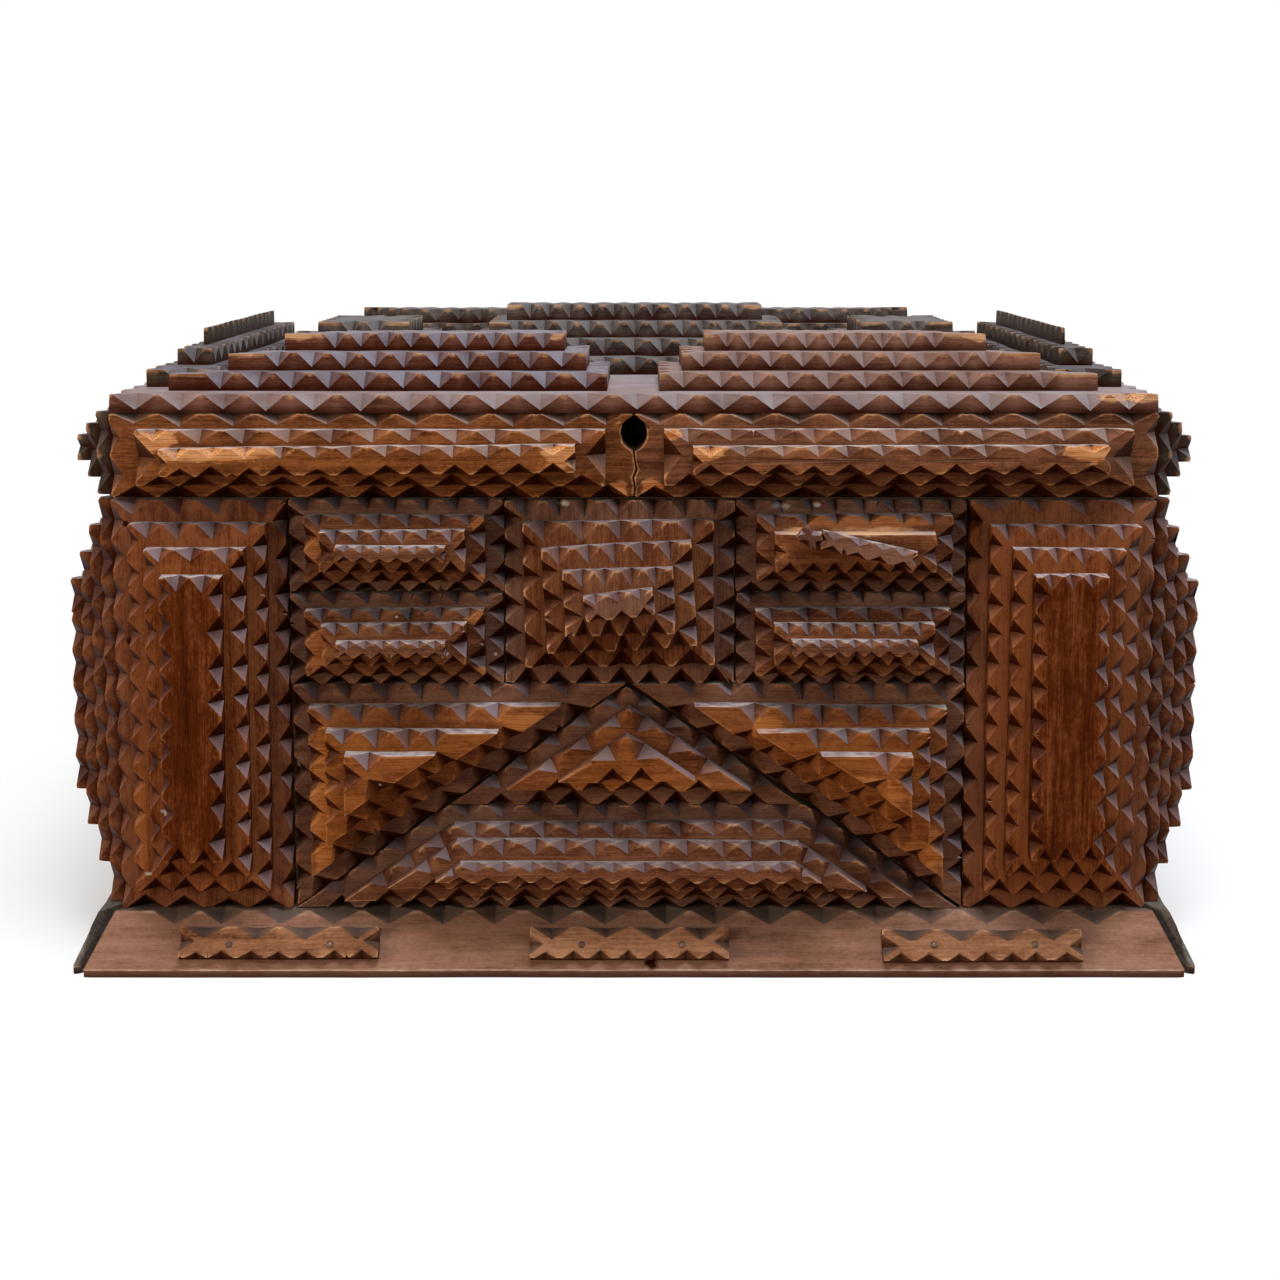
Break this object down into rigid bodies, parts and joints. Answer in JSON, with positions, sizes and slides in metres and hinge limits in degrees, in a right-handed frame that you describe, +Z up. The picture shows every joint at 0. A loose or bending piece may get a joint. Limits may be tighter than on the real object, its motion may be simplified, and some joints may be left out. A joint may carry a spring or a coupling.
{
  "type": "tramp art box",
  "caption": "Hinged, lockable wooden box covered with stepped chip-carved layers in pilasters, panels and triangles, on a canted plinth.",
  "frame": {"origin": "middle of the carcass on the surface that the box stands on", "axes": "+Z up, -Y towards the front with the keyhole, +X to the right seen from the front"},
  "size_m": [0.292, 0.2131, 0.1624],
  "materials": {
    "carcass_wood": "bare cigar-box wood, aged",
    "plinth_wood": "worn reddish varnish with dust",
    "dark_wood": "old dark varnish, half gloss",
    "red_wood": "old red-brown varnish, half gloss",
    "orange_wood": "worn orange-brown varnish",
    "grey_wood": "varnish dulled by dust",
    "brass": "tarnished",
    "steel": "dull"
  },
  "bodies": {
    "carcass": {"front_board": "carcass_wood", "back_board": "carcass_wood", "left_board": "carcass_wood", "right_board": "carcass_wood", "bottom_board": "carcass_wood", "front_plinth": "plinth_wood", "back_plinth": "plinth_wood", "left_plinth": "plinth_wood", "right_plinth": "plinth_wood", "front_plinth_strips": "plinth_wood", "side_plinth_strips": "plinth_wood", "left_pilaster": "dark_wood", "right_pilaster": "dark_wood", "upper_left_top_panel": "dark_wood", "upper_left_bottom_panel": "dark_wood", "upper_right_top_panel": "dark_wood", "upper_right_bottom_panel": "dark_wood", "left_side_stack": "dark_wood", "right_side_stack": "dark_wood", "back_panel": "dark_wood", "centre_panel": "red_wood", "lower_trapezoid": "red_wood", "lower_left_triangle": "orange_wood", "lower_right_triangle": "orange_wood", "lower_centre_triangle": "orange_wood", "left_hinge_body_leaf": "brass", "right_hinge_body_leaf": "brass", "lock_staple": "brass", "left_hinge_pin": "steel", "right_hinge_pin": "steel", "body_hinge_screws": "steel", "staple_screws": "steel"},
    "lid": {"lid_front_rail": "carcass_wood", "lid_back_rail": "carcass_wood", "lid_left_rail": "carcass_wood", "lid_right_rail": "carcass_wood", "lid_front_left_face": "orange_wood", "lid_front_right_face": "orange_wood", "lid_front_left_stack": "orange_wood", "lid_front_right_stack": "orange_wood", "lid_left_stack": "dark_wood", "lid_right_stack": "dark_wood", "lid_back_panel": "dark_wood", "top_left_strip": "dark_wood", "top_right_strip": "dark_wood", "lid_board": "grey_wood", "top_front_left_stack": "grey_wood", "top_front_right_stack": "grey_wood", "top_back_left_stack": "grey_wood", "top_back_right_stack": "grey_wood", "top_centre_stack": "grey_wood", "top_left_stack": "grey_wood", "top_right_stack": "grey_wood", "left_hinge_lid_leaf": "brass", "right_hinge_lid_leaf": "brass", "lock_plate": "brass", "lock_cap": "brass", "lid_hinge_screws": "steel", "lock_screws": "steel"},
    "lock_bolt": {"lock_bolt": "brass"}
  },
  "joints": [
    {"name": "lid_hinge", "type": "hinge", "parent": "carcass", "child": "lid", "pos_m": [0, 0.0919, 0.1188], "axis": [-1, 0, 0], "range_deg": [0, 108]},
    {"name": "bolt_slide", "type": "slide", "parent": "lid", "child": "lock_bolt", "axis": [1, 0, 0], "range_m": [0, 0.006]}
  ]
}
